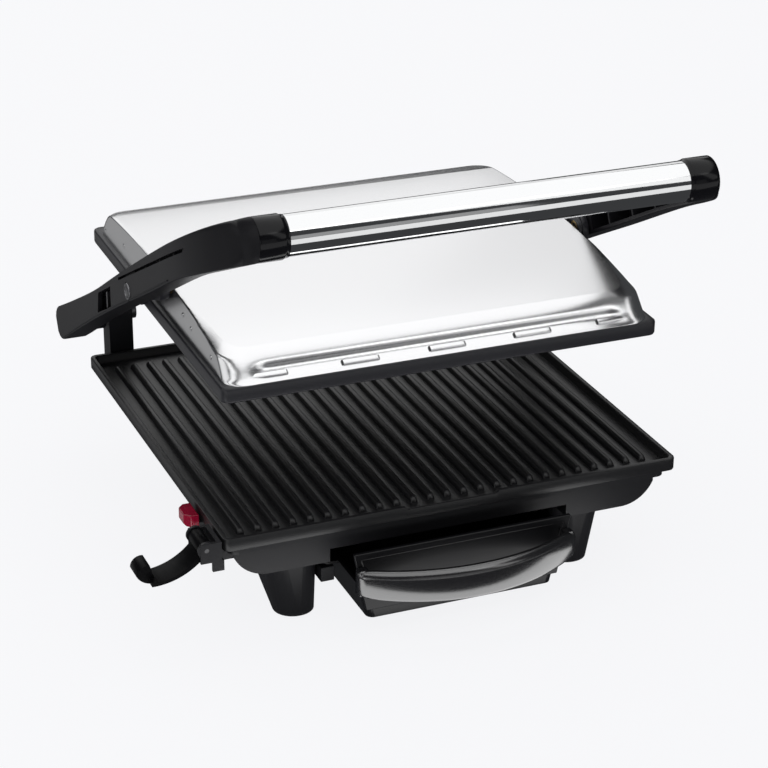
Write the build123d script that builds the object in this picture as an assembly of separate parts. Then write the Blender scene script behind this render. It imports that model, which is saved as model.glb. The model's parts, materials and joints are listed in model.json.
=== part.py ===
"""Contact grill with a floating lid, swing arms, chrome handle, drip tray and storage latch.

Millimetres, +Z up, the front of the grill faces -Y. The origin is on the ground under the middle of the
lower plate. The arms are modelled lying shut and then swung open by OPEN_ANGLE, the pose at rest.
"""
from build123d import *
import os
from math import cos, radians, sin

# ---- driving dimensions ----
PLATE_W, PLATE_D = 310, 300          # lower grill plate over its rim
RIM_Z = 80                           # top of the rim above the ground
BAND_H = 8.4                         # height of the rim band
RIB_PITCH = 11.58
LOWER_RIBS, UPPER_RIBS = 25, 23
BODY_W, BODY_D = 290, 276            # moulded body under the plate
BODY_Z = 45                          # flat underside of the body
WALL = 2.5
HINGE_Y, HINGE_Z = 159, 107          # axis of the arm hinges
OPEN_ANGLE = 25.4                    # arms above the shut position, at rest
LID_LEVEL = 0.914                    # lid leans this far back at rest, level when shut
ARM_OUT, ARM_IN = 170, 152           # outer and inner faces of an arm
PIVOT_S, PIVOT_T = 190.2, 4.1        # lid pivot along and above an arm
GRIP_S, GRIP_T = 385.7, 13.8           # handle axis along and above an arm
LID_W, LID_D, FRAME_H = 293.8, 284, 10
PIVOT_BACK, PIVOT_UP = -23.5, 30.6   # lid pivot from the middle of the lid and above its underside
PIN_R, RUN_FIT = 4, 0.05             # hinge pins and their running clearance
SCREW_R = 3.5                        # shoulder screws that carry the lid
TUBE_R, COLLAR_R = 12.4, 13.4        # chrome grip tube and the collars at its ends
TUBE_HALF, COLLAR_END = 128.5, 145
TRAY_FRONT, TRAY_BACK = -160, 70
LATCH_X, LATCH_Z = -166, 75          # latch pin
LUG_OUT = 151.2                      # outer face of the ears that carry the lid
LUG_SCREWS, LUG_SCREW_Z = (19, 46), 7.2
FOOT_X, FOOT_Y = 97, 110             # middle of each foot

parts = {}


def block(x0, x1, y0, y1, z0, z1):
    """Axis-aligned box from its limits."""
    return Pos((x0 + x1) / 2, (y0 + y1) / 2, (z0 + z1) / 2) * Box(x1 - x0, y1 - y0, z1 - z0)


def slab(w, d, z0, z1, r=4, x=0, y=0):
    """Upright prism with rounded corners."""
    return Pos(x, y, z0) * extrude(RectangleRounded(w, d, r), z1 - z0)


def rod_x(x0, x1, y, z, r):
    """Round bar along X."""
    return Pos((x0 + x1) / 2, y, z) * Rot(0, 90, 0) * Cylinder(r, abs(x1 - x0))


def rod_y(x, y0, y1, z, r):
    """Round bar along Y."""
    return Pos(x, (y0 + y1) / 2, z) * Rot(90, 0, 0) * Cylinder(r, abs(y1 - y0))


def rod_z(x, y, z0, z1, r):
    """Round bar along Z."""
    return Pos(x, y, (z0 + z1) / 2) * Cylinder(r, z1 - z0)


def tube_along(points, radius, bend):
    """Round wire or heater tube along straight runs with tangent bends."""
    path = FilletPolyline(*points, radius=bend)
    return sweep(Plane(path @ 0, z_dir=path % 0) * Circle(radius), path=path)


def mirrored(shape):
    return mirror(shape, about=Plane.YZ)


def pair(name, shape):
    """Keep a right-hand piece and its left-hand twin."""
    parts["right_" + name] = shape
    parts["left_" + name] = mirrored(shape)


def both(shape):
    return shape + mirrored(shape)


def four(shape):
    two = both(shape)
    return two + mirror(two, about=Plane.XZ)


# ---- base ----
def body_profile(inset):
    """Front view of the body: straight sides that curve into a flat underside."""
    half, low = BODY_W / 2 - inset, BODY_Z + inset
    side = Polyline((-half, RIM_Z - 10), (-half, 60))
    left = ThreePointArc((-half, 60), (-half + 7.4, low + 5.4), (-half + 24, low))
    under = Line((-half + 24, low), (half - 24, low))
    right = ThreePointArc((half - 24, low), (half - 7.4, low + 5.4), (half, 60))
    up = Polyline((half, 60), (half, RIM_Z - 10), (-half, RIM_Z - 10))
    return make_face(Plane.XZ * (Curve() + [side, left, under, right, up]))


def leg(inset, z_low):
    """One leg: round at the ground, its back edge flaring up into the body."""
    i = inset
    low = Pos(FOOT_X, FOOT_Y, z_low) * RectangleRounded(26.7 - 2 * i, 26.7 - 2 * i, 13 - i)
    top = Pos(100.5, 86, BODY_Z + 2.5) * RectangleRounded(37 - 2 * i, 74 - 2 * i, 12 - i)
    return loft([low, top])


SCREW_X, SCREW_Y = 112, 129          # screws that hold the lower plate
LID_SCREW_X, LID_SCREW_Y = 134.5, 90
TRAY_BAY = 82                        # half width of the tray bay
BAY_Z, BAY_BACK = 54, 92
TOWER_SCREWS = (55.5, 62)            # heights of the screws into each hinge tower


def base_housing():
    outer = extrude(body_profile(0), BODY_D / 2, both=True)
    outer += slab(300, 290, 66, RIM_Z - BAND_H, 6)
    outer += four(leg(0, 1.5))
    cavity = extrude(body_profile(WALL), BODY_D / 2 - WALL, both=True)
    cavity += slab(BODY_W - 2 * WALL, BODY_D - 2 * WALL, 60, RIM_Z, 4)
    bay_side = TRAY_BAY + WALL
    bay_roof = block(-bay_side, bay_side, -BODY_D / 2, BAY_BACK + WALL, BODY_Z, BAY_Z + WALL)
    shell = outer - cavity + bay_roof
    shell -= block(-TRAY_BAY, TRAY_BAY, -BODY_D / 2 - 1, BAY_BACK, BODY_Z - 1, BAY_Z)
    shell -= four(leg(WALL, 6))
    shell -= slab(296, 286, 69.5, RIM_Z, 5)
    shell -= four(rod_z(FOOT_X, FOOT_Y, 0, 2.5, 10))
    shell += four(rod_z(SCREW_X, SCREW_Y, BODY_Z + 1, 60, 5))
    shell -= four(rod_z(SCREW_X, SCREW_Y, BODY_Z - 4, BODY_Z + 7, 3.6))
    shell -= four(rod_z(SCREW_X, SCREW_Y, BODY_Z - 4, 61, 1.9))
    for z in TOWER_SCREWS:
        shell -= both(rod_y(130, 134, 140, z, 2))
    shell -= rod_y(-60, 130, 146, 57, 7)
    shell -= rod_x(-148, -140, -98, 63, 3)
    return shell


def rib_row(count, length, y0, z_root, z_top):
    """Cooking ribs from front to back, narrower at their tops."""
    step = 1 if z_top > z_root else -1
    root = z_root - 0.4 * step
    profile = Polyline((-2.7, root), (2.7, root), (1.5, z_top), (-1.5, z_top), close=True)
    rib = Pos(0, y0, 0) * extrude(make_face(Plane.XZ * profile), length / 2, both=True)
    first = -(count - 1) / 2 * RIB_PITCH
    return [Pos(first + i * RIB_PITCH, 0, 0) * rib for i in range(count)]


def lower_grill_plate():
    low = RIM_Z - BAND_H
    plate = slab(PLATE_W, PLATE_D, low, RIM_Z, 5)
    plate += slab(295.6, 285.6, 69.5, low + 1, 5)
    plate -= slab(PLATE_W - 7, PLATE_D - 7, 73.5, RIM_Z + 1, 3)
    plate += rib_row(LOWER_RIBS, 268, 0, 73.5, 77)
    plate -= block(-34, 26, -PLATE_D / 2 - 1, -PLATE_D / 2 + 5, RIM_Z - 2, RIM_Z + 1)
    plate += four(rod_z(SCREW_X, SCREW_Y, 60, 70, 4.5))
    plate -= four(rod_z(SCREW_X, SCREW_Y, 59, 68, 1.75))
    return plate


def heater(z, back):
    """Tubular heater: a wide loop with its two ends brought out at the back."""
    left = [(-25, back, z), (-25, 92, z), (-108, 92, z), (-108, -100, z)]
    return tube_along(left + [(-x, y, z) for x, y, z in reversed(left)], 3.25, 22)


def heat_shield(z, lip, w, d):
    """Folded sheet tray beside the heater, with its edges towards the plate."""
    low, high = min(z, lip), max(z, lip)
    tray = slab(w, d, low, high, 4)
    floor = (low + 0.8, high + 1) if lip > z else (low - 1, high - 0.8)
    return tray - slab(w - 1.6, d - 1.6, *floor, 3)


def clamp_row(z_plate, z_far):
    """Saddle clips that hold the heater against its plate."""
    clips = []
    step = 1 if z_far > z_plate else -1
    for x, y in ((-108, 0), (108, 0), (-55, -100), (55, -100)):
        wide = (20, 14) if abs(x) == 108 else (14, 20)
        bridge = block(x - wide[0] / 2, x + wide[0] / 2, y - wide[1] / 2, y + wide[1] / 2,
                       min(z_far, z_far - 1.5 * step), max(z_far, z_far - 1.5 * step))
        for side in (-1, 1):
            px = x + side * (wide[0] / 2 - 2) * (abs(x) == 108)
            py = y + side * (wide[1] / 2 - 2) * (abs(x) != 108)
            post = block(px - 2, px + 2, py - 2, py + 2, min(z_plate, z_far), max(z_plate, z_far))
            bridge += post
        clips.append(bridge)
    return Compound(children=clips)


def hinge_tower():
    foot = block(121.7, 139, BODY_D / 2, 167, 48, 66)
    column = block(121.7, 139, 150.5, 167, 48, HINGE_Z)
    head = rod_x(121.7, 139, HINGE_Y - 0.25, HINGE_Z, 8.25)
    tower = foot + column + head
    tower -= rod_x(120, 140, HINGE_Y, HINGE_Z, PIN_R + RUN_FIT)
    for z in TOWER_SCREWS:
        tower -= rod_y(130, 137, 150, z, 1.75)
    return tower


def make_base():
    parts["base_housing"] = base_housing()
    parts["lower_grill_plate"] = lower_grill_plate()
    parts["lower_heating_element"] = heater(66, 122)
    parts["lower_element_clips"] = clamp_row(69.5, 61)
    shield = heat_shield(58.5, 60.5, 244, 236)
    shield -= rod_z(0, 0, 55, 64, 12)
    shield -= block(-32, 32, 112, 120, 59.3, 64)
    parts["lower_heat_shield"] = shield
    sensor = rod_z(0, 0, 61, 69.5, 9) + block(-4, -2, -4, 4, 57, 61) + block(2, 4, -4, 4, 57, 61)
    parts["lower_thermostat"] = sensor
    parts["thermal_fuse"] = rod_y(40, 20, 36, 67.2, 2.2) + rod_y(40, 12, 44, 67.2, 0.6)
    parts["terminal_block"] = block(-48, -18, 104, 118, BODY_Z + WALL, 57) - block(-46, -20, 106, 108, 50, 58)
    to_heater = [(-24, 118.6, 52), (-24, 127, 52), (-4, 127, 58), (-4, 127.5, 66), (-21, 127, 66)]
    to_lamp = [(-40, 103.6, 52), (-40, 98, 52), (-100, 98, 52), (-138, 60, 57), (-138, -92, 60)]
    parts["base_wiring"] = Compound(children=[tube_along(to_heater, 1.2, 2), tube_along(to_lamp, 1.2, 3)])
    seat = BODY_Z + 7
    plate_screw = rod_z(SCREW_X, SCREW_Y, seat, 67, 1.7) + rod_z(SCREW_X, SCREW_Y, seat - 2.5, seat, 3.4)
    parts["plate_screws"] = Compound(children=four_list(plate_screw))
    parts["foot_pads"] = Compound(children=four_list(rod_z(FOOT_X, FOOT_Y, 0, 2.5, 9.9)))
    pair("hinge_tower", hinge_tower())
    screw = [rod_y(130, 135.5, 149, z, 1.7) + rod_y(130, 133, 135.5, z, 2.8) for z in TOWER_SCREWS]
    parts["hinge_tower_screws"] = Compound(children=screw + [mirrored(s) for s in screw])
    pin = rod_x(119.5, 164, HINGE_Y, HINGE_Z, PIN_R) + rod_x(118, 121.7, HINGE_Y, HINGE_Z, 6.5)
    pair("hinge_pin", pin)
    washer = rod_x(139, 140.6, HINGE_Y, HINGE_Z, 9) - rod_x(138, 142, HINGE_Y, HINGE_Z, PIN_R + RUN_FIT)
    parts["hinge_washers"] = Compound(children=[washer, mirrored(washer)])
    gland = rod_y(-60, 138, 150, 57, 8.6) + rod_y(-60, 133, 138, 57, 6.9)
    gland += rod_y(-60, 133, 135.5, 57, 8)
    parts["cord_gland"] = gland - rod_y(-60, 130, 151, 57, 3.6)
    rail = block(73, 82, -122, 86, 22, 32) - block(75, 80, -121, 87, 19, 30)
    rail += block(80, 82, -44, 44, 30, BODY_Z) + block(80, 84, -44, 44, BODY_Z - 1.5, BODY_Z)
    pair("tray_rail", rail)


def four_list(shape):
    front = mirror(shape, about=Plane.XZ)
    return [shape, mirrored(shape), front, mirrored(front)]


def make_lamp_and_latch():
    lens = block(-166, -157, -107, -89, 69.2, 77.5)
    lens = chamfer(lens.edges().filter_by(Axis.Z).group_by(Axis.X)[0], 4)
    lens = chamfer(lens.faces().sort_by(Axis.Z)[0].edges().sort_by(Axis.X)[0], 1.6)
    parts["indicator_lens"] = lens + block(-160, -157, -102, -94, 64.5, 70.5)
    pod = block(-157, -150.2, -105, -91, 60, 71) + block(-157, -BODY_W / 2, -105, -91, 60, 65.8)
    parts["lamp_socket"] = pod - rod_x(-158, -151.5, -98, 68, 2.1) - rod_x(-152.5, -143, -98, 63, 1.6)
    parts["indicator_bulb"] = rod_x(-157, -151.6, -98, 68, 2)

    bracket = block(-170, -156.6, -149.8, -124.7, 66.5, 79.5) + block(-162.5, -155.2, -149.8, -136, 60, 67)
    bracket += rod_y(LATCH_X, -149.6, -124.9, LATCH_Z, 5.6)
    bracket -= block(-174, -159.4, -147.7, -127, 50, 82)
    bracket -= rod_y(LATCH_X, -151, -124, LATCH_Z, 1.5 + 0.02)
    bracket += block(-157, -150.2, -137.5, -128, 60, 71) + block(-157, -BODY_W / 2, -137.5, -128, 60, 65.8)
    parts["latch_bracket"] = bracket
    parts["latch_pin"] = rod_y(LATCH_X, -149.6, -125, LATCH_Z, 1.5)
    parts["latch_lever"] = latch_lever()


def latch_lever():
    """Curved strap on a hub, with a solid rounded hook at its end."""
    y0, y1 = -147.3, -127.4
    top = ThreePointArc((-168, 73.5), (-182.5, 61.8), (-197, 57.8))
    under = ThreePointArc((-200.4, 55.9), (-180.5, 60.0), (-165, 72))
    heel = ThreePointArc((-208.3, 61.6), (-205.4, 58.2), (-200.4, 55.9))
    curl = ThreePointArc((-200, 68.2), (-206, 66.6), (-208.3, 61.6))
    edges = [top, Line((-197, 57.8), (-200, 68.2)), curl, heel, under, Line((-165, 72), (-168, 73.5))]
    face = make_face(Plane.XZ * (Curve() + edges))
    strap = Pos(0, (y0 + y1) / 2, 0) * extrude(face, (y1 - y0) / 2, both=True)
    strap -= block(-215, -200.4, y0 - 1, y0 + 5, 50, 80) + block(-215, -190, y0 - 1, y0 + 5, 59.2, 80)
    lever = strap + rod_y(LATCH_X, y0, y1, LATCH_Z, 5)
    return lever - rod_y(LATCH_X, y0 - 1, y1 + 1, LATCH_Z, 1.5 + RUN_FIT)


# ---- arms and handle, in their own shut frame: hinge axis at the origin, -Y forward ----
ARMS_AT_REST = Pos(0, HINGE_Y, HINGE_Z) * Rot(-OPEN_ANGLE, 0, 0)
ARM_TOP = [(-12, 10), (103, 12.4), (174, 17.4), (262, 22.6), (330, 25.3), (GRIP_S, GRIP_T + COLLAR_R)]
ARM_UNDER = [(GRIP_S, GRIP_T - COLLAR_R), (340, 2.0), (302, 2.0), (232, -1.2), (162, -3.4), (100, -6.2),
             (39, -10.3), (-12, -14)]


def arm_side(inset):
    """Side view of an arm; s runs forward from the hinge and t up."""
    top = [(-s, t - inset) for s, t in ARM_TOP]
    under = [(-s, t + inset) for s, t in ARM_UNDER]
    tip = (-(GRIP_S + COLLAR_R - inset), GRIP_T)
    tail = (24 - inset, -2)
    edges = [Spline(*top, tangents=((-1, 0), (-1, 0.02))), ThreePointArc(top[-1], tip, under[0]),
             Spline(*under, tangents=((1, 0.02), (1, -0.05))), ThreePointArc(under[-1], tail, top[0])]
    return make_face(Plane.YZ * (Curve() + edges))


def arm_plan():
    """Top view of the right arm: straight, then bowed inwards to the handle."""
    front, back = -GRIP_S - COLLAR_R, -GRIP_S + COLLAR_R
    bow = [(ARM_OUT, -296), (167, -331), (160.4, -357), (153, -379), (COLLAR_END, front + 1)]
    outer = Spline(*bow, tangents=((0, -1), (-1, -0.5)))
    inner = Spline((COLLAR_END, back), (150.5, -345), (ARM_IN, -300), tangents=((0.4, 1), (0, 1)))
    edges = [Line((ARM_IN, 30), (ARM_OUT, 30)), Line((ARM_OUT, 30), (ARM_OUT, -296)), outer,
             Line((COLLAR_END, front + 1), (COLLAR_END, back)), inner, Line((ARM_IN, -300), (ARM_IN, 30))]
    return make_face(Curve() + edges)


def arm():
    shape = extrude(arm_side(0), 180) & (Pos(0, 0, -30) * extrude(arm_plan(), 80))
    channel = Pos(ARM_IN - 12, 0, 0) * extrude(arm_side(2.6), 12 + ARM_OUT - ARM_IN - 2.6)
    channel &= block(100, 200, -318, -26, -40, 60)
    for s in (70, 115, 150, 230, 265, 298):
        channel -= block(100, 200, -s - 1, -s + 1, -40, 60)
    shape -= channel
    shape += rod_x(ARM_IN + 0.5, ARM_OUT - 2, -PIVOT_S, PIVOT_T, 8)
    shape += rod_x(141, ARM_OUT - 2, 0, 0, 10.5)
    shape -= rod_x(140, 165, 0, 0, PIN_R + RUN_FIT)
    shape -= rod_x(150, 171, -PIVOT_S, PIVOT_T, SCREW_R + RUN_FIT)
    shape -= rod_x(167.8, 171, -PIVOT_S, PIVOT_T, 6)
    shape -= rod_x(COLLAR_END - 1, 148.2, -GRIP_S, GRIP_T, PIN_R + RUN_FIT)
    return shape - block(ARM_OUT - 1.6, 172, -142, -112, -5.5, 12.5)


def make_arms():
    grip = (-GRIP_S, GRIP_T)
    pieces = {"arm": arm()}
    collar = rod_x(TUBE_HALF, COLLAR_END, *grip, COLLAR_R) + rod_x(112, TUBE_HALF, *grip, TUBE_R - 1.5)
    pieces["handle_collar"] = collar - rod_x(110, 148, *grip, PIN_R + RUN_FIT)
    cap = rod_x(167.8, 169.6, -PIVOT_S, PIVOT_T, 5.8) + rod_x(144.8, 168, -PIVOT_S, PIVOT_T, SCREW_R)
    pieces["lid_pivot_screw"] = cap
    for name, shape in pieces.items():
        pair(name, ARMS_AT_REST * shape)
    tube = rod_x(-TUBE_HALF, TUBE_HALF, *grip, TUBE_R) - rod_x(-130, 130, *grip, TUBE_R - 1.4)
    parts["handle_tube"] = ARMS_AT_REST * tube
    parts["handle_tie_rod"] = ARMS_AT_REST * rod_x(-147, 147, *grip, PIN_R)


# ---- lid, in its own level frame: middle of the lid at the origin, underside at z 0 ----
def lid_at_rest():
    s, t, a = PIVOT_S, PIVOT_T, radians(OPEN_ANGLE)
    y = HINGE_Y - s * cos(a) + t * sin(a)
    z = HINGE_Z + s * sin(a) + t * cos(a)
    return Pos(0, y, z) * Rot(LID_LEVEL, 0, 0) * Pos(0, -PIVOT_BACK, -PIVOT_UP)


def cover_side(inset):
    """Side view of the steel cover: rear slope, crowned top, rounded nose and a shallow front apron."""
    i = inset
    rear = Line((139.5 - i, FRAME_H), (133 - i, 18))
    shoulder = ThreePointArc((133 - i, 18), (125 - i, 26.4 - i * 0.5), (112 - i * 0.5, 30.6 - i))
    crown = ThreePointArc((112 - i * 0.5, 30.6 - i), (10, 35.4 - i), (-120 + i, 26.3 - i))
    nose = ThreePointArc((-120 + i, 26.3 - i), (-126.8 + i, 22), (-128.5 + i, 17.5))
    apron = Polyline((-128.5 + i, 17.5), (-131 + i, 14.2), (-139.5 + i, FRAME_H + 0.6),
                     (-139.5 + i, FRAME_H), (139.5 - i, FRAME_H))
    return make_face(Plane.YZ * (Curve() + [rear, shoulder, crown, nose, apron]))


def cover_front(inset):
    """Front view of the steel cover: steep sides and a small shoulder."""
    half = 143.8 - inset
    right = [(half, FRAME_H - 1), (half, FRAME_H + 2), (half - 1.6, 31), (half - 3.4, 34 - inset * 0.5),
             (half - 12, 40)]
    left = [(-x, z) for x, z in reversed(right)]
    return make_face(Plane.XZ * Polyline(*right, *left, close=True))


def cover_block(inset):
    solid = extrude(cover_side(inset), 150, both=True)
    solid &= extrude(cover_front(inset), 150, both=True)
    return solid & slab(287.6 - 2 * inset, 279 - 2 * inset, 0, 60, 13 - inset)


def steel_cover():
    return cover_block(0) - cover_block(0.9)


def lid_frame():
    ring = slab(LID_W, LID_D, 0, FRAME_H, 5) - slab(278.4, 268.6, -1, 6.5, 4)
    ring -= slab(262, 252, 5, FRAME_H + 1, 4)
    for y in LUG_SCREWS:
        ring -= both(rod_x(138, 150, y, LUG_SCREW_Z, 1.55))
    return ring - four(rod_z(LID_SCREW_X, LID_SCREW_Y, 3, FRAME_H + 1, 1.75))


def lid_lug():
    """Ear outside the cover: leans back from the pivot bush to its foot on the frame."""
    y, z = PIVOT_BACK, PIVOT_UP
    foot = Polyline((y + 6, z + 7), (38, FRAME_H + 4), (52, FRAME_H + 1), (52, 4.2), (12, 4.2), (6, FRAME_H),
                    (y - 7, z - 6))
    edges = [foot, ThreePointArc((y - 7, z - 6), (y - 8, z + 5), (y, z + 9.2)),
             ThreePointArc((y, z + 9.2), (y + 3.4, z + 8.6), (y + 6, z + 7))]
    outline = make_face(Plane.YZ * (Curve() + edges))
    ear = Pos(LID_W / 2, 0, 0) * extrude(outline, LUG_OUT - LID_W / 2, dir=(1, 0, 0))
    ear += rod_x(144.6, LID_W / 2, y, z, 8)
    for screw_y in LUG_SCREWS:
        ear -= rod_x(LID_W / 2 - 1, LUG_OUT + 1, screw_y, LUG_SCREW_Z, 1.55)
        ear -= rod_x(LUG_OUT - 1.4, LUG_OUT + 1, screw_y, LUG_SCREW_Z, 2.6)
    return ear - rod_x(140, 155, y, z, 5)


def make_lid():
    place = lid_at_rest()
    lid = {"lid_frame": lid_frame(), "steel_cover": steel_cover()}
    plate = slab(277.8, 268, 2.5, 6.5, 4) + (slab(277.8, 268, 0, 3, 4) - slab(271.8, 262, -1, 2.5, 3))
    plate += rib_row(UPPER_RIBS, 250, 0, 2.5, -1)
    lid["upper_grill_plate"] = plate - four(rod_z(LID_SCREW_X, LID_SCREW_Y, 3, 7, 1.75))
    lid["upper_heating_element"] = heater(10, 118)
    lid["upper_element_clips"] = clamp_row(6.5, 15)
    lid["upper_heat_shield"] = heat_shield(17.5, 14.5, 240, 236) - rod_z(0, 0, 12, 20, 12)
    blades = block(-4, -2, -4, 4, 15, 19) + block(2, 4, -4, 4, 15, 19)
    lid["upper_thermostat"] = rod_z(0, 0, 6.5, 15, 9) + blades
    x, y = LID_SCREW_X, LID_SCREW_Y
    screw = rod_z(x, y, 4, FRAME_H, 1.7) + rod_z(x, y, FRAME_H, FRAME_H + 1.8, 3.2)
    lid["lid_screws"] = Compound(children=four_list(screw))
    lead = [(-22, 119.5, 12), (-22, 123, 13), (-122, 123, 17), (-122, -20, 22)]
    lid["lid_wiring"] = Compound(children=[tube_along(lead, 1.2, 3)])
    for name, shape in lid.items():
        parts[name] = place * shape
    pivot = (PIVOT_BACK, PIVOT_UP)
    bush = rod_x(144.6, LUG_OUT, *pivot, 5) - rod_x(140, 155, *pivot, SCREW_R + RUN_FIT)
    seat, z = LUG_OUT - 1.3, LUG_SCREW_Z
    screws = [rod_x(140.5, seat, y, z, 1.5) + rod_x(seat, LUG_OUT - 0.1, y, z, 2.5) for y in LUG_SCREWS]
    screws += [mirrored(s) for s in screws]
    parts["ear_screws"] = Compound(children=[place * s for s in screws])
    pair("lid_lug", place * lid_lug())
    pair("pivot_bush", place * bush)


# ---- drip tray ----
def make_tray():
    back = TRAY_FRONT + 3
    mid, depth = (back + TRAY_BACK) / 2, TRAY_BACK - back

    def pan_block(inset, low):
        bottom = Pos(0, mid, low) * RectangleRounded(128 - 2 * inset, depth - 2 * inset, 5)
        top = Pos(0, mid, 34.3) * RectangleRounded(139.6 - 2 * inset, depth - 2 * inset, 5)
        return loft([bottom, top])

    pan = pan_block(0, 10.5) + slab(160, 190, 32.3, 34.3, 4, 0, -25)
    parts["drip_tray"] = pan - pan_block(2.2, 12.7) - slab(135.2, 180, 30, 36, 4, 0, -25)
    outline = Polyline((-74.5, 58.7), (-66, 18), (66, 18), (74.5, 58.7), close=True)
    panel = Pos(0, back, 0) * extrude(make_face(Plane.XZ * outline), 3)
    well = Polyline((-69.5, 54), (-62, 28), (62, 28), (69.5, 54), close=True)
    parts["tray_front"] = panel - Pos(0, TRAY_FRONT + 1.2, 0) * extrude(make_face(Plane.XZ * well), 3)
    outer = ThreePointArc((-74.5, -168), (0, -190.5), (74.5, -168))
    inner = ThreePointArc((69, -165), (0, -185), (-69, -165))
    right = Polyline((74.5, -168), (74.5, TRAY_FRONT), (69, TRAY_FRONT), (69, -165))
    left = Polyline((-69, -165), (-69, TRAY_FRONT), (-74.5, TRAY_FRONT), (-74.5, -168))
    bow = make_face(Curve() + [outer, right, inner, left])
    parts["tray_handle"] = Pos(0, 0, 30) * extrude(bow, 22)


def main():
    make_base()
    make_lamp_and_latch()
    make_arms()
    make_lid()
    make_tray()
    os.makedirs("parts", exist_ok=True)
    for name, shape in parts.items():
        export_step(shape, f"parts/{name}.step")


main()
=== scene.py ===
"""Looks of the contact grill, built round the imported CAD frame. Lengths in the helpers are millimetres."""

import bpy
import bmesh
import json
from math import cos, pi, radians, sin, sqrt
from mathutils import Matrix, Vector

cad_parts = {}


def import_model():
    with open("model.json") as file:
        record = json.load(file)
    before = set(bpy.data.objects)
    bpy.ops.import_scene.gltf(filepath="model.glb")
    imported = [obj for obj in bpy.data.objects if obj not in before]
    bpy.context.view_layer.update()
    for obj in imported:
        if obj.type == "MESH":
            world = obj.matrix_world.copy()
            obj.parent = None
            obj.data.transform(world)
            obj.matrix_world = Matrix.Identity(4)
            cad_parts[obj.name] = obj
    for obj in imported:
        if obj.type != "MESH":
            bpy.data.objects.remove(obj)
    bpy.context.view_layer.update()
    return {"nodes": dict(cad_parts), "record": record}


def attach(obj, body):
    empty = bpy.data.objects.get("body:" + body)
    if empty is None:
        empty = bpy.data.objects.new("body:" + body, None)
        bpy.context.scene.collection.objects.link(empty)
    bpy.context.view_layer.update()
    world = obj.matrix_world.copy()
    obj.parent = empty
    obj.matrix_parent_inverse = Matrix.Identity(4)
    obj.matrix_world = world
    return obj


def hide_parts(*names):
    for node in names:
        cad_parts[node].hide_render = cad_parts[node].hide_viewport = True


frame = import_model()
scene = bpy.context.scene

# ---- places ----
OPEN_ANGLE, LID_LEVEL = radians(25.4), radians(0.914)
HINGE_Y, HINGE_Z = 159, 107
PIVOT_S, PIVOT_T = 190.2, 4.1  # lid pivot, from the hinge along and above the arm
PIVOT_BACK, PIVOT_UP = -23.5, 30.6  # the same pivot in the lid's frame
GRIP_S, GRIP_T = 385.7, 13.8  # axis of the grip tube in the arms' frame


def world(p):
    return Vector(p) / 1000


def on_arm(p):
    """From the arms' own frame: x, distance s forward from the hinge, t up."""
    x, s, t = p
    y = HINGE_Y - s * cos(OPEN_ANGLE) + t * sin(OPEN_ANGLE)
    z = HINGE_Z + s * sin(OPEN_ANGLE) + t * cos(OPEN_ANGLE)
    return Vector((x, y, z)) / 1000


PIVOT = on_arm((0, PIVOT_S, PIVOT_T)) * 1000


def on_lid(p):
    """From the lid's own frame: middle of the lid, underside at z 0."""
    x, y, z = p
    dy, dz = y - PIVOT_BACK, z - PIVOT_UP
    out_y = PIVOT.y + dy * cos(LID_LEVEL) - dz * sin(LID_LEVEL)
    out_z = PIVOT.z + dy * sin(LID_LEVEL) + dz * cos(LID_LEVEL)
    return Vector((x, out_y, out_z)) / 1000


# ---- finishes ----
def finish_of(name, color, roughness, metallic=0.0, grain=0.0, grain_scale=900.0, stretch=(1, 1, 1),
              mottle=0.0, coat=0.0, specular=0.5, transmission=0.0, rough_spread=0.0, ior=1.5):
    """A principled finish with procedural grain, slight mottling and roughness variation."""
    mat = bpy.data.materials.new(name)
    mat.use_nodes = True
    nodes, links = mat.node_tree.nodes, mat.node_tree.links
    shader = nodes["Principled BSDF"]
    shader.inputs["Base Color"].default_value = (*color, 1)
    shader.inputs["Roughness"].default_value = roughness
    shader.inputs["Metallic"].default_value = metallic
    shader.inputs["Coat Weight"].default_value = coat
    shader.inputs["Coat Roughness"].default_value = 0.12
    shader.inputs["Specular IOR Level"].default_value = specular
    shader.inputs["Transmission Weight"].default_value = transmission
    shader.inputs["IOR"].default_value = ior
    coords = nodes.new("ShaderNodeTexCoord")
    mapping = nodes.new("ShaderNodeMapping")
    mapping.inputs["Scale"].default_value = stretch
    links.new(coords.outputs["Object"], mapping.inputs["Vector"])
    noise = nodes.new("ShaderNodeTexNoise")
    noise.inputs["Scale"].default_value = grain_scale
    noise.inputs["Detail"].default_value = 3
    links.new(mapping.outputs["Vector"], noise.inputs["Vector"])
    if grain:
        bump = nodes.new("ShaderNodeBump")
        bump.inputs["Strength"].default_value = grain
        bump.inputs["Distance"].default_value = 0.0002
        links.new(noise.outputs["Fac"], bump.inputs["Height"])
        links.new(bump.outputs["Normal"], shader.inputs["Normal"])
    if rough_spread:
        spread = nodes.new("ShaderNodeMapRange")
        spread.inputs["To Min"].default_value = roughness - rough_spread
        spread.inputs["To Max"].default_value = roughness + rough_spread
        links.new(noise.outputs["Fac"], spread.inputs["Value"])
        links.new(spread.outputs["Result"], shader.inputs["Roughness"])
    if mottle:
        ramp = nodes.new("ShaderNodeMapRange")
        ramp.inputs["To Min"].default_value = 1 - mottle
        ramp.inputs["To Max"].default_value = 1 + mottle
        tint = nodes.new("ShaderNodeVectorMath")
        tint.operation = "SCALE"
        tint.inputs[0].default_value = color
        links.new(noise.outputs["Fac"], ramp.inputs["Value"])
        links.new(ramp.outputs["Result"], tint.inputs["Scale"])
        links.new(tint.outputs["Vector"], shader.inputs["Base Color"])
    return mat


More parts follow.
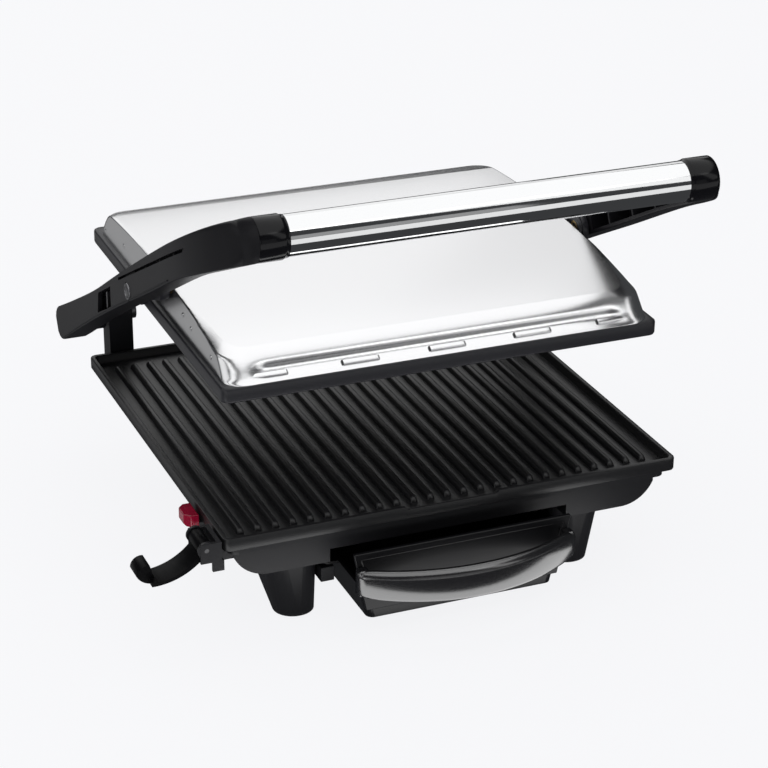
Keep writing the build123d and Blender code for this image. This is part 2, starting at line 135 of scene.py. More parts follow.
FINISHES = {
    "housing": finish_of("moulded black", (0.013, 0.013, 0.015), 0.40, grain=0.25, grain_scale=2600,
                         mottle=0.08, specular=0.42),
    "tower": finish_of("moulded black tower", (0.007, 0.007, 0.009), 0.42, grain=0.25, grain_scale=2600,
                       mottle=0.08, specular=0.38),
    "nonstick": finish_of("non-stick coating", (0.010, 0.010, 0.011), 0.36, grain=0.35, grain_scale=1800,
                          mottle=0.12, rough_spread=0.06),
    "heater": finish_of("oxidised sheath", (0.30, 0.28, 0.25), 0.5, 1, grain=0.2, mottle=0.2),
    "bracket_steel": finish_of("zinc strip", (0.52, 0.53, 0.52), 0.38, 1, mottle=0.08),
    "sheet_steel": finish_of("aluminised sheet", (0.62, 0.62, 0.62), 0.34, 1, mottle=0.06, grain_scale=220),
    "ceramic_white": finish_of("steatite", (0.78, 0.75, 0.68), 0.55, mottle=0.04),
    "sheath": finish_of("glass sleeve", (0.74, 0.70, 0.58), 0.85, grain=0.6, mottle=0.1),
    "wire": finish_of("silicone lead", (0.70, 0.67, 0.62), 0.5, mottle=0.04),
    "fastener": finish_of("zinc screw", (0.55, 0.55, 0.56), 0.32, 1, mottle=0.08),
    "foot_rubber": finish_of("foot rubber", (0.022, 0.022, 0.022), 0.75, grain=0.4, mottle=0.1),
    "pin_steel": finish_of("ground pin", (0.30, 0.30, 0.31), 0.4, 1, mottle=0.05),
    "washer": finish_of("nylon washer", (0.07, 0.07, 0.07), 0.5, mottle=0.05),
    "gland_rubber": finish_of("gland rubber", (0.02, 0.02, 0.02), 0.7, grain=0.4, mottle=0.1),
    "lens_red": finish_of("red lens", (0.36, 0.004, 0.034), 0.12, coat=0.5, transmission=0.3, mottle=0.05),
    "bulb_glass": finish_of("neon glass", (0.9, 0.45, 0.25), 0.1, transmission=0.6, mottle=0.03),
    "latch": finish_of("satin black latch", (0.003, 0.003, 0.0035), 0.33, grain=0.12, grain_scale=2200,
                       mottle=0.06, specular=0.08, ior=1.4),
    "arm": finish_of("satin arm", (0.009, 0.0088, 0.0105), 0.40, grain=0.16, grain_scale=2400,
                     mottle=0.06, specular=0.2, ior=1.42),
    "collar": finish_of("gloss black collar", (0.004, 0.004, 0.005), 0.14, coat=0.05, mottle=0.04,
                        specular=0.22),
    "chrome_tube": finish_of("polished chrome", (0.83, 0.835, 0.84), 0.055, 1, rough_spread=0.015,
                             grain_scale=60, stretch=(0.2, 8, 8)),
    "pivot_cap": finish_of("turned cap", (0.22, 0.22, 0.23), 0.34, 1, mottle=0.08),
    "lid_frame": finish_of("satin lid frame", (0.016, 0.016, 0.020), 0.38, grain=0.2, grain_scale=2400,
                           mottle=0.06),
    "brushed_cover": finish_of("brushed stainless", (0.86, 0.86, 0.87), 0.22, 1, grain=0.05, grain_scale=900,
                               stretch=(0.03, 1.6, 1.6), rough_spread=0.02, mottle=0.015),
    "bush": finish_of("sintered bronze", (0.50, 0.36, 0.16), 0.45, 1, mottle=0.1),
    "tray": finish_of("moulded black tray", (0.005, 0.005, 0.006), 0.28, grain=0.1, grain_scale=2600,
                      mottle=0.06, specular=0.35),
    "tray_gloss": finish_of("gloss black handle", (0.005, 0.005, 0.006), 0.2, mottle=0.04, specular=0.5,
                            ior=2.3),
}

SLOT_OF = {part["node"]: part["material_slot"] for part in frame["record"]["subparts"]}


def dress(obj, slot):
    obj.data.materials.clear()
    obj.data.materials.append(FINISHES[slot])


def smooth(obj, angle=32):
    for face in obj.data.polygons:
        face.use_smooth = True
    obj.data.set_sharp_from_angle(angle=radians(angle))


def bevel(obj, width, segments=3, angle=32):
    """Rounds the sharp edges; width in millimetres."""
    mod = obj.modifiers.new("round edges", "BEVEL")
    mod.width = width / 1000
    mod.segments = segments
    mod.limit_method = "ANGLE"
    mod.angle_limit = radians(angle)
    mod.harden_normals = True
    return mod


def piece(name, verts, faces, slot, body, nodes=(), place=world, sharp=32, round_by=0.0, segments=3):
    """A visual piece from millimetre points: painted, riding on its body and standing for its CAD nodes."""
    data = bpy.data.meshes.new(name)
    data.from_pydata([place(v) for v in verts], [], faces)
    data.validate()
    work = bmesh.new()
    work.from_mesh(data)
    bmesh.ops.remove_doubles(work, verts=work.verts, dist=1e-6)
    bmesh.ops.recalc_face_normals(work, faces=work.faces)
    work.to_mesh(data)
    work.free()
    obj = bpy.data.objects.new(name, data)
    scene.collection.objects.link(obj)
    smooth(obj, sharp)
    if round_by:
        bevel(obj, round_by, segments)
    dress(obj, slot)
    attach(obj, body)
    if nodes:
        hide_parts(*nodes)
    return obj


# ---- shape helpers: each gives (verts, faces) in millimetres ----
def join(*solids):
    verts, faces = [], []
    for v, f in solids:
        base = len(verts)
        verts += v
        faces += [[i + base for i in face] for face in f]
    return verts, faces


def skin(rings, closed_loop=False, caps=True):
    """Quads between rings of equal length."""
    n, verts, faces = len(rings[0]), [], []
    for ring in rings:
        verts += list(ring)
    last = len(rings) if closed_loop else len(rings) - 1
    for k in range(last):
        a, b = k * n, ((k + 1) % len(rings)) * n
        faces += [[a + i, a + (i + 1) % n, b + (i + 1) % n, b + i] for i in range(n)]
    if caps and not closed_loop:
        faces += [list(range(n))[::-1], [(len(rings) - 1) * n + i for i in range(n)]]
    return verts, faces


def box(x0, x1, y0, y1, z0, z1):
    low = [(x0, y0, z0), (x1, y0, z0), (x1, y1, z0), (x0, y1, z0)]
    high = [(x, y, z1) for x, y, _ in low]
    return skin([low, high])


def prism(outline, plane, a, b):
    """Closed outline run along the third axis; plane is 'xz', 'yz' or 'xy'."""
    put = {"xz": lambda p, q, c: (p, c, q), "yz": lambda p, q, c: (c, p, q),
           "xy": lambda p, q, c: (p, q, c)}[plane]
    return skin([[put(p, q, c) for p, q in outline] for c in (a, b)])


def rounded(w, d, r, x=0.0, y=0.0, steps=7, front=()):
    """Rounded rectangle, anticlockwise from the right of its front edge, then extra front points."""
    r = max(r, 0.05)
    out = []
    for cx, cy, start in ((1, -1, -90), (1, 1, 0), (-1, 1, 90), (-1, -1, 180)):
        for i in range(steps + 1):
            a = radians(start + 90 * i / steps)
            out.append((x + cx * (w / 2 - r) + r * cos(a), y + cy * (d / 2 - r) + r * sin(a)))
    return out + [(x + fx, y - d / 2) for fx in front]


def ring_of(w, d, r, z, **more):
    return [(x, y, z) for x, y in rounded(w, d, r, **more)]


def lathe_x(profile, y, z, steps=64):
    """Turned about a line along X at (y, z); profile is (x, radius) pairs."""
    rings = [[(x, y + r * cos(2 * pi * i / steps), z + r * sin(2 * pi * i / steps)) for i in range(steps)]
             for x, r in profile]
    return skin(rings)


def mirror_x(solid):
    verts, faces = solid
    return [(-x, y, z) for x, y, z in verts], [face[::-1] for face in faces]


def both(solid):
    return join(solid, mirror_x(solid))


def curve(points, steps=12):
    """Smooth curve through the points."""
    pts = [points[0]] + list(points) + [points[-1]]
    out = []
    for k in range(1, len(pts) - 2):
        p0, p1, p2, p3 = (Vector(p) for p in pts[k - 1:k + 3])
        for i in range(steps):
            t = i / steps
            out.append(0.5 * ((2 * p1) + (p2 - p0) * t + (2 * p0 - 5 * p1 + 4 * p2 - p3) * t * t
                              + (3 * p1 - p0 - 3 * p2 + p3) * t ** 3))
    return out + [Vector(points[-1])]


def value_at(table, at):
    """Straight line reading of a table {position: value}."""
    keys = sorted(table)
    if at <= keys[0]:
        return table[keys[0]]
    for a, b in zip(keys, keys[1:]):
        if at <= b:
            t = (at - a) / (b - a)
            return table[a] + (table[b] - table[a]) * t
    return table[keys[-1]]


# ---- lower plate ----
RIB_PITCH, RIB_COUNT = 11.58, 25
RIB_LENGTH, RIB_ROOT, RIB_HEIGHT = 268, 73.1, 3.9
LIP_STATIONS = (-36, -34, 26, 28)  # x of the extra points that shape the pouring lip
LIP_LEFT, LIP_RIGHT, LIP_Z = -34.5, 26.5, 78
RIM_Z = 80


def rib(x, length, z_root, height):
    """One cooking rib with a rounded top and ends that slope down."""
    half = length / 2
    shape = [(-2.7, 0), (-2.2, 0.55), (-1.7, 0.88), (-1.0, 1), (1.0, 1), (1.7, 0.88), (2.2, 0.55), (2.7, 0)]
    rings = []
    for y, k in ((-half, 0.05), (-half + 0.9, 0.62), (-half + 2, 0.88), (-half + 4, 1), (half - 4, 1),
                 (half - 2, 0.88), (half - 0.9, 0.62), (half, 0.05)):
        rings.append([(x + dx * (0.8 + 0.2 * k), y, z_root + height * h * k) for dx, h in shape])
    return skin(rings)


def lower_plate():
    """The ribbed plate: a rounded tray with a pouring lip in its front rim."""
    rows = [(309.2, 299.2, 4.6, 71.6), (310, 300, 5, 72.3), (310, 300, 5, 79.2), (309.6, 299.6, 4.8, 79.8),
            (308.8, 298.8, 4.4, RIM_Z), (304.6, 294.6, 3.6, RIM_Z), (303.6, 293.6, 3.2, 79.6),
            (303.2, 293.2, 3, 79), (302.4, 292.4, 3, 74.4), (301.4, 291.4, 2.6, 73.7), (300, 290, 2.4, 73.5)]
    rings = []
    for w, d, r, z in rows:
        ring = []
        for x, y, z_ring in ring_of(w, d, r, z, front=LIP_STATIONS):
            if LIP_LEFT < x < LIP_RIGHT and y < 0 and z_ring > LIP_Z - 0.2:
                z_ring = min(z_ring, LIP_Z + (z_ring - RIM_Z) * 0.2)
            ring.append((x, y, z_ring))
        extra = len(LIP_STATIONS)
        rings.append(ring[-extra:] + ring[:-extra])
    verts, faces = skin(rings)
    piece("cooking_plate", verts, faces, "nonstick", "base", ["lower_grill_plate"], sharp=38)
    first = -(RIB_COUNT - 1) / 2 * RIB_PITCH
    ribs = [rib(first + i * RIB_PITCH, RIB_LENGTH, RIB_ROOT, RIB_HEIGHT) for i in range(RIB_COUNT)]
    verts, faces = join(*ribs)
    piece("cooking_ribs", verts, faces, "nonstick", "base", sharp=50)


# ---- lid ----
CROWN_POINTS = ((-120.9, 26.1), (10, 35.2), (112, 30.6))  # crease, highest point and rear shoulder (y, z)


def crown(y):
    """Height of the cover's top along its middle: the arc through its three points."""
    (ax, ay), (bx, by), (cx, cy) = CROWN_POINTS
    aa, bb, cc = ax * ax + ay * ay, bx * bx + by * by, cx * cx + cy * cy
    d = 2 * (ax * (by - cy) + bx * (cy - ay) + cx * (ay - by))
    ux = (aa * (by - cy) + bb * (cy - ay) + cc * (ay - by)) / d
    uy = (aa * (cx - bx) + bb * (ax - cx) + cc * (bx - ax)) / d
    radius = sqrt((ax - ux) ** 2 + (ay - uy) ** 2)
    return uy + sqrt(radius ** 2 - (y - ux) ** 2)


# sections of the cover in (y, z), low to high
COVER_BASE, COVER_HALF = 10, 143.6
NOSE_SECTION = curve([(-120.9, 26.1), (-123, 25.1), (-125.4, 23.7), (-127.6, 21.9), (-129.3, 20.1),
                      (-130.4, 18.2), (-130.9, 16.9), (-131.2, 16.1)], 3)
APRON_SECTION = curve([(-131.2, 16.1), (-132.0, 14.8), (-133.2, 13.5), (-135, 12.3), (-137.6, 11.2),
                       (-140.4, 10.5), (-141.2, 10.3), (-141.3, 10)], 3)
FRONT_SECTION = (NOSE_SECTION + APRON_SECTION[1:])[::-1]
CHEEK_SECTION = curve([(-120.9, 26.1), (-124.6, 24.5), (-128.4, 22.0), (-132.0, 18.8), (-135.4, 15.2),
                       (-138.2, 12.4), (-140.6, 10.7), (-141.3, 10)], 4)[::-1]
REAR_SECTION = curve([(139.5, 10), (136.6, 14.2), (133.4, 18.6), (129.8, 22.8), (125.6, 26.2), (119.4, 29.0),
                      (112, 30.6)], 6)


def height_share(z, z_top):
    return (z - COVER_BASE) / (z_top - COVER_BASE)


def section_at(section, share):
    """Distance from the middle where a section reaches a share of its height."""
    z_top = section[-1].y
    for p, q in zip(section, section[1:]):
        low, high = height_share(p.y, z_top), height_share(q.y, z_top)
        if low <= share <= high:
            return p.x + (q.x - p.x) * (share - low) / max(high - low, 1e-6)
    return section[-1].x


CREASE_IN = {-125: 7.4, -109: 7.4, -99: 6.2, -83: 4.7, -61: 2.4, -30: 1.9, 112: 1.9}  # crease inside the roll
FLANK_LEAN, ROLL_IN, ROLL_TALL, FACET_SLOPE = 0.8, 0.9, 1.5 * 0.8, radians(27)
ROLL_END = 0.92  # share of a quarter turn that the roll makes
FOLD_X, CHEEK_X = 116, 131
FRONT_STATIONS = (0.3, 0.6, 0.76, 0.8, 0.84, 0.88, 0.91, 0.94, 0.965, 0.985)
CORNER_R, CORNER_STEPS, SIDE_STEPS = 13, 9, 44


def side_inset(y, share, height):
    """How far the side leans in: a steep flank, a tight roll and a facet that widens towards the front."""
    facet = value_at(CREASE_IN, y) - ROLL_IN
    facet_tall = facet * sin(FACET_SLOPE)
    drop = facet_tall + ROLL_TALL
    below = (1 - share) * height
    if below >= drop:
        return FLANK_LEAN * share
    if below <= facet_tall:
        return FLANK_LEAN + ROLL_IN + facet * (1 - below / max(facet_tall, 1e-6))
    turn = (drop - below) / ROLL_TALL
    return FLANK_LEAN + ROLL_IN * (1 - sqrt(max(1 - turn * turn * ROLL_END, 0))) / (1 - sqrt(1 - ROLL_END))


def front_edge(x, share):
    """Where the front lies: folded along the middle, a plain rounded cheek at the corners."""
    k = min(max((abs(x) - FOLD_X) / (CHEEK_X - FOLD_X), 0), 1)
    k = k * k * (3 - 2 * k)
    return section_at(FRONT_SECTION, share) * (1 - k) + section_at(CHEEK_SECTION, share) * k


def cover_ring(share):
    """Outline of the cover at a share of its height, anticlockwise from the middle of the front."""
    back, cheek = section_at(REAR_SECTION, share), section_at(CHEEK_SECTION, share)

    def half_width(y):
        return COVER_HALF - side_inset(y, share, crown(y) - COVER_BASE) - CORNER_R

    plan = []
    corner_x = half_width(cheek + 2)
    for part in FRONT_STATIONS:
        plan.append((corner_x * part, front_edge(corner_x * part, share)))
    for i in range(CORNER_STEPS + 1):
        a = radians(-90 + 90 * i / CORNER_STEPS)
        y = cheek + CORNER_R + CORNER_R * sin(a)
        plan.append((half_width(y) + CORNER_R * cos(a), y))
    for i in range(1, SIDE_STEPS):
        y = cheek + CORNER_R + (back - cheek - 2 * CORNER_R) * i / SIDE_STEPS
        plan.append((half_width(y) + CORNER_R, y))
    for i in range(CORNER_STEPS + 1):
        a = radians(90 * i / CORNER_STEPS)
        y = back - CORNER_R + CORNER_R * sin(a)
        plan.append((half_width(y) + CORNER_R * cos(a), y))
    right = [(x, y, COVER_BASE + share * (crown(y) - COVER_BASE)) for x, y in plan]
    return right + [(-x, y, z) for x, y, z in reversed(right)]


FRONT_SHARES = {round(height_share(p.y, FRONT_SECTION[-1].y), 4) for p in FRONT_SECTION}
SHARES = sorted(FRONT_SHARES | {round(0.76 + 0.02 * i, 4) for i in range(13)})


def cover_sheet():
    """The pressed steel cover: crowned top, rounded nose, hollow fold, shallow apron and plain cheeks."""
    rings = [cover_ring(share) for share in SHARES]
    verts, faces = skin(rings, caps=False)
    n = len(rings[0])
    top = (len(rings) - 1) * n
    ahead = len(FRONT_STATIONS) + 1
    faces.append([top + i for i in range(ahead + 1)] + [top + n - 1 - i for i in range(ahead, -1, -1)])
    faces += [[top + i, top + i + 1, top + n - 2 - i, top + n - 1 - i] for i in range(ahead, n // 2 - 1)]
    return verts, faces


LOUVRES = ((-128, -103), (-67, -43), (-9, 15), (49, 74), (107, 130))
SIDE_MARKS = ((119.5, 15.2), (75.4, 20.6), (-54.3, 22.9), (-70.3, 20.0), (-109.3, 17.2))
APRON_LOW, APRON_SLOPE = (-140.4, 10.0), radians(27.5)
LOUVRE_LOW, LOUVRE_HIGH, BURIED = 4.3, 7.7, -0.8  # up the apron, and how deep the lips reach into it


def on_apron(x, up, out):
    """A point on the cover's apron: up the slope and out from its face."""
    y, z = APRON_LOW
    along, away = cos(APRON_SLOPE), sin(APRON_SLOPE)
    return (x, y + up * along - out * away, z + up * away + out * along)


def apron_block(x0, x1, up0, up1, out0, out1):
    low = [on_apron(x, up, out0) for x, up in ((x0, up0), (x1, up0), (x1, up1), (x0, up1))]
    high = [on_apron(x, up, out1) for x, up in ((x0, up0), (x1, up0), (x1, up1), (x0, up1))]
    return skin([low, high])


def louvre(x0, x1):
    """A pressed lip that stands off the apron, blended in at its right end."""
    rings = []
    for x, rise in ((x0, 0.6), (x0 + 4, 0.65), (x1 - 4, 0.6), (x1 - 1.4, 0.5), (x1 - 0.4, 0.3), (x1, 0.1)):
        lip = ((LOUVRE_LOW, BURIED), (4.4, 0.55 * rise), (4.9, rise), (7.1, rise), (7.6, 0.7 * rise),
               (LOUVRE_HIGH, BURIED))
        rings.append([on_apron(x, up, out) for up, out in lip])
    return skin(rings)


def dome(x, y, z, radius, height, steps=16):
    """A small round dimple raised from the cover's side."""
    rings = []
    for k in (1, 0.85, 0.6, 0.3, 0.05):
        out = height * (1 - k * k)
        rings.append([(x * (1 + out / abs(x)), y + radius * k * cos(2 * pi * i / steps),
                       z + radius * k * sin(2 * pi * i / steps)) for i in range(steps)])
    return skin(rings)


def make_cover():
    verts, faces = cover_sheet()
    cover = piece("steel_cover", verts, faces, "brushed_cover", "lid", ["steel_cover"], on_lid, sharp=16)
    wall = cover.modifiers.new("sheet thickness", "SOLIDIFY")
    wall.thickness, wall.offset = 0.0009, -1
    v, f = join(*[louvre(*x) for x in LOUVRES])
    piece("cover_louvres", v, f, "brushed_cover", "lid", (), on_lid, sharp=30, round_by=0.2)
    # Painted shade on the apron: flat black patches at the left end of each louvre stand for the shade inside
    # its opening, and thin black strips along the lips' upper edges are painted shadows.
    painted_opening_shade = [apron_block(a - 0.9, a + 0.1, 4.7, 7.5, -0.6, 0.12) for a, b in LOUVRES]
    shadows = [apron_block(a - 0.4, b - 1.5, 7.65, 7.95, -0.6, 0.16) for a, b in LOUVRES]
    v, f = join(*painted_opening_shade, *shadows)
    piece("louvre_painted_shade", v, f, "tower", "lid", (), on_lid)
    dimples = [dome(sign * (COVER_HALF - 0.4), y, z, 1.7, 0.9) for y, z in SIDE_MARKS for sign in (1, -1)]
    v, f = join(*dimples)
    piece("cover_dimples", v, f, "brushed_cover", "lid", (), on_lid, sharp=60)
    return cover


def lid_ring():
    """The plastic frame under the cover."""
    rows = [(291.2, 281.4, 4.2, 0.0), (293.0, 283.2, 5, 0.5), (293.8, 284, 5, 1.6), (293.8, 284, 5, 8.4),
            (293.2, 283.4, 4.8, 9.5), (291.8, 282.0, 4.4, 10.0), (287.0, 278.0, 10, 10.0),
            (262, 252, 4, 10.0), (262, 252, 4, 6.5), (278.4, 268.6, 4, 6.5), (278.4, 268.6, 4, 0.0)]
    verts, faces = skin([ring_of(w, d, r, z) for w, d, r, z in rows], closed_loop=True)
    piece("lid_frame", verts, faces, "lid_frame", "lid", ["lid_frame"], on_lid, sharp=50)


# ---- arms ----
ARM_TOP = curve([(-12, 10), (40, 10.6), (103, 12.4), (174, 17.4), (262, 22.6), (330, 25.6), (365, 27.0),
                 (GRIP_S, 27.2)], 8)
ARM_UNDER = curve([(-12, -14), (10, -12.6), (39, -10.3), (100, -6.2), (162, -3.4), (232, -1.2), (302, 1.6),
                   (345, 1.2), (GRIP_S, 0.4)], 8)
ARM_OUTER = curve([(170, -12), (170, 60), (170, 160), (170, 250), (169.9, 296), (168.2, 325), (164.0, 350),
                   (157.6, 371), (151.6, 386), (148.4, 393.6), (145, 399.0)], 8)
ARM_INNER = curve([(152, -12), (152, 60), (152, 160), (152, 250), (152, 296), (151.9, 318), (151.2, 336),
                   (149.8, 352), (148.0, 363), (146.6, 369), (145, 372.5)], 8)
END_TOP, END_UNDER = 27.2, 0.4  # the arm's end against the collar
RING_STEPS = 40
FLAT_SIDED, ROUND = 16, 2  # powers of the superellipse that the arm's section follows
TAIL = ((0.55, 9.5), (0.8, 7), (0.95, 3.4))  # height share and distance behind the first ring


def at_s(line, s):
    for a, b in zip(line, line[1:]):
        if a.x <= s <= b.x:
            return a.y + (b.y - a.y) * (s - a.x) / max(b.x - a.x, 1e-6)
    return line[0].y if s < line[0].x else line[-1].y


def arm_solid():
    """Right arm: flat-sided beam that turns inwards and ends round against the collar."""
    rings = []
    for k, (o, i) in enumerate(zip(ARM_OUTER, ARM_INNER)):
        middle, half = (o + i) / 2, (o - i).length / 2
        way = (o - i).normalized()
        blend = min(max((k / (len(ARM_OUTER) - 1) - 0.55) / 0.42, 0), 1)
        blend = blend * blend * (3 - 2 * blend)
        power = FLAT_SIDED + (ROUND - FLAT_SIDED) * min(blend * 1.6, 1) ** 0.5
        ring = []
        for j in range(RING_STEPS):
            a = 2 * pi * j / RING_STEPS
            ca, sa = cos(a), sin(a)
            u = abs(ca) ** (2 / power) * (1 if ca >= 0 else -1)
            v = abs(sa) ** (2 / power) * (1 if sa >= 0 else -1)
            spot = middle + way * (half * u)
            s = spot.y
            hi, lo = at_s(ARM_TOP, min(s, GRIP_S)), at_s(ARM_UNDER, min(s, GRIP_S))
            hi, lo = hi + (END_TOP - hi) * blend, lo + (END_UNDER - lo) * blend
            ring.append((spot.x, s, (hi + lo) / 2 + (hi - lo) / 2 * v))
        rings.append(ring)
    first = rings[0]
    mid = sum(p[2] for p in first) / len(first)
    tail = [[(p[0], p[1] - back, mid + (p[2] - mid) * shrink) for p in first] for shrink, back in TAIL]
    return skin(tail + rings)


def cut(obj, tool_solid, place):
    """Boolean difference, applied, then the tool is deleted."""
    verts, faces = tool_solid
    data = bpy.data.meshes.new("tool")
    data.from_pydata([place(v) for v in verts], [], faces)
    work = bmesh.new()
    work.from_mesh(data)
    bmesh.ops.recalc_face_normals(work, faces=work.faces)
    work.to_mesh(data)
    work.free()
    tool = bpy.data.objects.new("tool", data)
    scene.collection.objects.link(tool)
    mod = obj.modifiers.new("cut", "BOOLEAN")
    mod.operation, mod.object, mod.solver = "DIFFERENCE", tool, "EXACT"
    evaluated = obj.evaluated_get(bpy.context.evaluated_depsgraph_get())
    result = bpy.data.meshes.new_from_object(evaluated)
    obj.modifiers.remove(mod)
    obj.data = result
    bpy.data.objects.remove(tool)


POCKET = [(104, -3.0), (142, -2.2), (148.5, 11.0), (114, 9.6)]
POCKET_BAR = [(126.6, -1.6), (128.4, -1.6), (133.2, 8.6), (131.4, 8.6)]
GROOVE = [(172, 12.9), (325, 16.2), (326.3, 17.3), (325, 18.4), (172, 14.6)]
RIB_STOPS, SOLID_BAY = (30, 70, 115, 150, 178, 202, 230, 265, 298, 318), (178, 202)
WALL = 2.8  # of the channelled inner side
BEYOND = 175  # x outside the arm's face
PIVOT_CAP = [(165, 5.5), (170.3, 5.5), (170.7, 5.1), (170.7, 4.5), (170.1, 4.0), (170.1, 3.3), (170.5, 2.9),
             (170.5, 0.05)]
RIDGE = ((169.4, 0.9), (170.5, 1.3), (170.5, 2.0), (169.4, 2.5))
COLLAR = [(126.5, 12.6), (128.5, 12.7), (128.9, 13.1), (129.6, 13.4), (143.6, 13.4), (144.6, 13.2),
          (145.2, 12.6)]
TUBE_HALF, TUBE_R = 128.5, 12.4


def arm_channels():
    """The bays between the ribs of an arm's inner side; the bay round the lid pivot stays solid."""
    channels = []
    for a, b in zip(RIB_STOPS, RIB_STOPS[1:]):
        if (a, b) == SOLID_BAY:
            continue
        outline = [(s, at_s(ARM_UNDER, s) + WALL) for s in (a + 1, (a + b) / 2, b - 1)]
        outline += [(s, at_s(ARM_TOP, s) - WALL) for s in (b - 1, (a + b) / 2, a + 1)]
        channels.append(prism(outline, "yz", 146, 167))
    return channels


def make_arms():
    cuts = arm_channels() + [prism(POCKET, "yz", 165.6, BEYOND), prism(GROOVE, "yz", 166.6, BEYOND),
                             lathe_x([(167.8, 6.2), (BEYOND, 6.2)], PIVOT_S, PIVOT_T, 40)]
    boss = lathe_x([(141, 10.5), (153, 10.5)], 0, 0, 48)
    bar = prism(POCKET_BAR, "yz", 165, 168.9)
    cap = lathe_x(PIVOT_CAP, PIVOT_S, PIVOT_T)
    ridge = skin([[(x, s, at_s(ARM_UNDER, s) + up) for x, up in RIDGE] for s in range(-6, 294, 6)])
    collar = lathe_x(COLLAR, GRIP_S, GRIP_T, 96)
    for side, flip in (("right", lambda s: s), ("left", mirror_x)):
        arm = piece(side + "_arm_shape", *flip(arm_solid()), "arm", "arms", [side + "_arm"], on_arm, sharp=42)
        for tool in cuts:
            cut(arm, flip(tool), on_arm)
        smooth(arm, 38)
        dress(arm, "arm")
        piece(side + "_hinge_boss_shape", *flip(boss), "arm", "arms", (), on_arm, round_by=0.6)
        piece(side + "_arm_inset_shape", *flip(bar), "pivot_cap", "arms", (), on_arm, round_by=0.3)
        piece(side + "_pivot_ring_shape", *flip(cap), "pivot_cap", "arms", (), on_arm, sharp=50)
        piece(side + "_arm_ridge_shape", *flip(ridge), "arm", "arms", (), on_arm, sharp=70)
        piece(side + "_collar_shape", *flip(collar), "collar", "arms", [side + "_handle_collar"], on_arm,
              sharp=50)
    grip = lathe_x([(-TUBE_HALF, TUBE_R), (TUBE_HALF, TUBE_R)], GRIP_S, GRIP_T, 128)
    piece("handle_tube", *grip, "chrome_tube", "arms", ["handle_tube"], on_arm)


# ---- tray ----
BOW_HALF, BOW_STEPS, BOW_R, BOW_CENTRE_Y, BOW_FRONT_Y, BOW_DEEP = 74.3, 40, 134.5, -56, -190.4, 6.2
# section of the bow: -1 is the front or the lower edge, 1 the back or the upper edge
BOW_SECTION = [(0.9, -1), (-0.2, -1.0), (-0.45, -0.95), (-0.62, -0.8), (-0.78, -0.6), (-0.9, -0.4),
               (-1.0, -0.1), (-0.99, 0.2), (-0.95, 0.5), (-0.86, 0.66), (-0.5, 0.84), (0.0, 0.96),
               (0.5, 1.0), (0.9, 0.98), (1, 0.9), (1, 0), (1, -0.9)]


def make_tray_handle():
    """The bowed handle: a plump strip whose upper edge is rolled, and a foot at each end."""
    rings = []
    for k in range(BOW_STEPS + 1):
        u = -1 + 2 * k / BOW_STEPS
        x = BOW_HALF * u
        edge = 1 - max(0, (abs(u) - 0.86) / 0.14) ** 2 * 0.16
        out_y = max(BOW_CENTRE_Y - sqrt(BOW_R ** 2 - x * x), BOW_FRONT_Y)
        low, high = 30 + 2.2 * u * u, 52 - 1.2 * u * u
        mid, tall = (low + high) / 2, (high - low) / 2 * edge
        rings.append([(x, out_y + BOW_DEEP / 2 + a * BOW_DEEP / 2, mid + b * tall) for a, b in BOW_SECTION])
    piece("tray_handle", *skin(rings), "tray_gloss", "tray", ["tray_handle"], sharp=60)
    ends = both(box(66.5, 73.9, -167.6, -159.9, 32.5, 50.5))
    piece("tray_handle_ends", *ends, "tray_gloss", "tray", (), round_by=1.6)


# ---- CAD pieces shown as they are, with softened edges ----
ROUND_EDGES = {"base_housing": 0.9, "tray_front": 0.7, "drip_tray": 0.5, "left_tray_rail": 0.5,
               "right_tray_rail": 0.5, "left_hinge_tower": 0.8, "right_hinge_tower": 0.8,
               "latch_bracket": 0.5, "latch_lever": 0.6, "indicator_lens": 0.7, "left_lid_lug": 0.6,
               "right_lid_lug": 0.6, "foot_pads": 0.4, "left_lid_pivot_screw": 0.3,
               "right_lid_pivot_screw": 0.3, "upper_grill_plate": 0.5}


def soften(node, width):
    obj = frame["nodes"][node]
    weld = obj.modifiers.new("weld", "WELD")
    weld.merge_threshold = 1e-6
    bevel(obj, width, 3, 35)


def dress_cad():
    for name, obj in frame["nodes"].items():
        dress(obj, SLOT_OF[name])
    for name, width in ROUND_EDGES.items():
        soften(name, width)


# ---- studio ----
def card(name, place, aim, size, radiance, turn=0.0):
    """A soft box of even brightness that only shows in reflections and on lit surfaces; turn in degrees."""
    data = bpy.data.lights.new(name, "AREA")
    data.shape, data.size, data.size_y = "RECTANGLE", size[0], size[1]
    data.energy, data.color = radiance * size[0] * size[1] * pi, (1, 1, 1)
    obj = bpy.data.objects.new(name, data)
    scene.collection.objects.link(obj)
    obj.location = place
    facing = (Vector(aim) - Vector(place)).to_track_quat("-Z", "Y").to_euler()
    obj.rotation_euler = (facing.to_matrix() @ Matrix.Rotation(radians(turn), 3, "Z")).to_euler()
    obj.visible_camera = False


def floor_card(name, x, y, size, radiance):
    """A bright patch of floor, facing up."""
    card(name, (x, y, 0.004), (x, y, 2), size, radiance)


def pale_floor():
    """The floor that the camera sees: it glows evenly, so hardly any shadow shows, and isn't reflected."""
    mat = bpy.data.materials.new("pale floor")
    mat.use_nodes = True
    shader = mat.node_tree.nodes["Principled BSDF"]
    shader.inputs["Base Color"].default_value = (0.09, 0.09, 0.092, 1)
    shader.inputs["Roughness"].default_value = 0.95
    shader.inputs["Specular IOR Level"].default_value = 0.0
    shader.inputs["Emission Color"].default_value = (0.915, 0.918, 0.935, 1)
    shader.inputs["Emission Strength"].default_value = 0.955
    data = bpy.data.meshes.new("floor")
    data.from_pydata([(-30, -30, 0), (30, -30, 0), (30, 30, 0), (-30, 30, 0)], [], [[0, 1, 2, 3]])
    floor = bpy.data.objects.new("floor", data)
    scene.collection.objects.link(floor)
    data.materials.append(mat)
    floor.visible_glossy = False


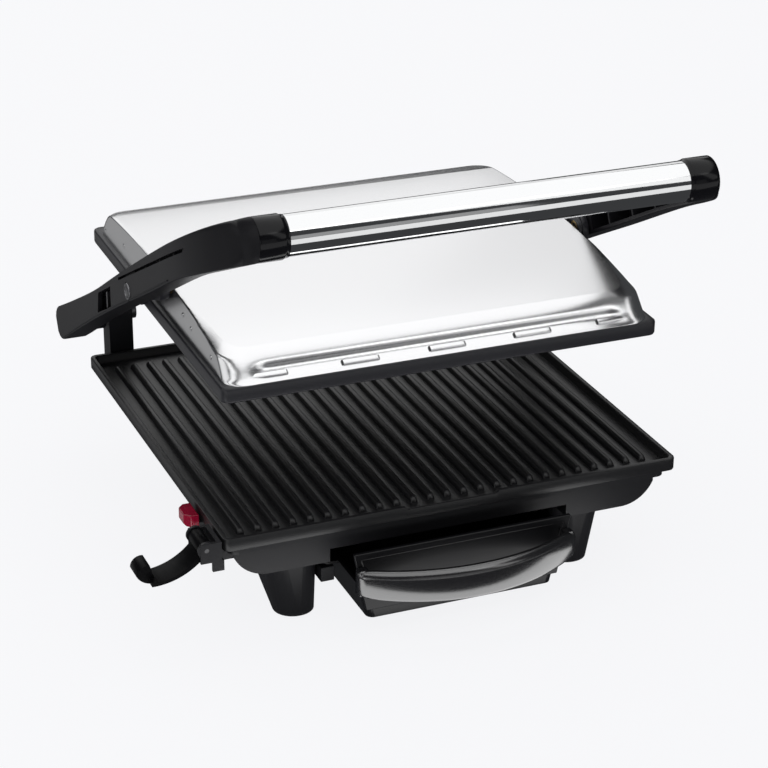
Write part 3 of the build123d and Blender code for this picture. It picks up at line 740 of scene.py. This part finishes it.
def studio():
    """Dark surroundings with bright cards behind, above, at the left and on the floor."""
    pale_floor()
    backdrop = bpy.data.worlds.new("studio")
    backdrop.use_nodes = True
    backdrop.node_tree.nodes["Background"].inputs["Color"].default_value = (0.92, 0.95, 1.0, 1)
    backdrop.node_tree.nodes["Background"].inputs["Strength"].default_value = 0.05
    scene.world = backdrop
    card("back card", (0.12, 2.6, 1.58), (0.12, 0, 1.58), (2.4, 1.85), 0.98)
    card("back right card", (1.72, 2.6, 1.75), (1.72, 0, 1.75), (0.8, 1.5), 0.82)
    card("top card", (-0.1, -0.15, 2.5), (-0.1, -0.15, 0), (3.8, 5.5), 1.12)
    card("front right card", (1.96, -3.0, 2.05), (1.96, 0, 2.05), (1.2, 2.6), 1.0, 23)
    card("left front card", (-2.3, -1.7, 0.4), (0, 0, 0.2), (1.1, 0.7), 1.7)
    card("left wall", (-2.2, 0.1, 1.3), (0, 0.1, 1.3), (1.6, 1.9), 0.85)
    card("front fill", (0.2, -3.0, 0.55), (0.2, 0, 0.55), (2.2, 0.9), 0.28)
    floor_card("front floor", 0.3, -2.1, (4.5, 2.9), 0.85)
    floor_card("near floor", -0.11, -0.196, (0.5, 0.056), 1.9)
    floor_card("left front floor", -0.75, -0.75, (0.6, 0.6), 0.9)
    floor_card("back floor", 0.24, 1.3, (0.5, 1.6), 0.85)
    floor_card("left floor", -0.85, 0.75, (1.3, 1.6), 0.26)


def camera():
    azimuth, elevation, roll = radians(-22.35737), radians(24.40157), radians(0.35492)
    distance, across, rise = 1606.855, 9.7754, 13.868
    back = Vector((sin(azimuth) * cos(elevation), -cos(azimuth) * cos(elevation), sin(elevation)))
    right = Vector((cos(azimuth), sin(azimuth), 0))
    up = back.cross(right)
    if up.z < 0:
        up = -up
    right_r = right * cos(roll) + up * sin(roll)
    up_r = up * cos(roll) - right * sin(roll)
    data = bpy.data.cameras.new("camera")
    data.sensor_width, data.lens = 36, 110.607
    obj = bpy.data.objects.new("camera", data)
    scene.collection.objects.link(obj)
    turn = Matrix((right_r, up_r, back)).transposed().to_4x4()
    turn.translation = (back * distance + right_r * across + up_r * rise) / 1000 + Vector((0, 0, 0.08))
    obj.matrix_world = turn
    scene.camera = obj
    scene.view_settings.view_transform = "Standard"


dress_cad()
lower_plate()
make_cover()
lid_ring()
make_arms()
make_tray_handle()
studio()
camera()
bpy.context.view_layer.update()
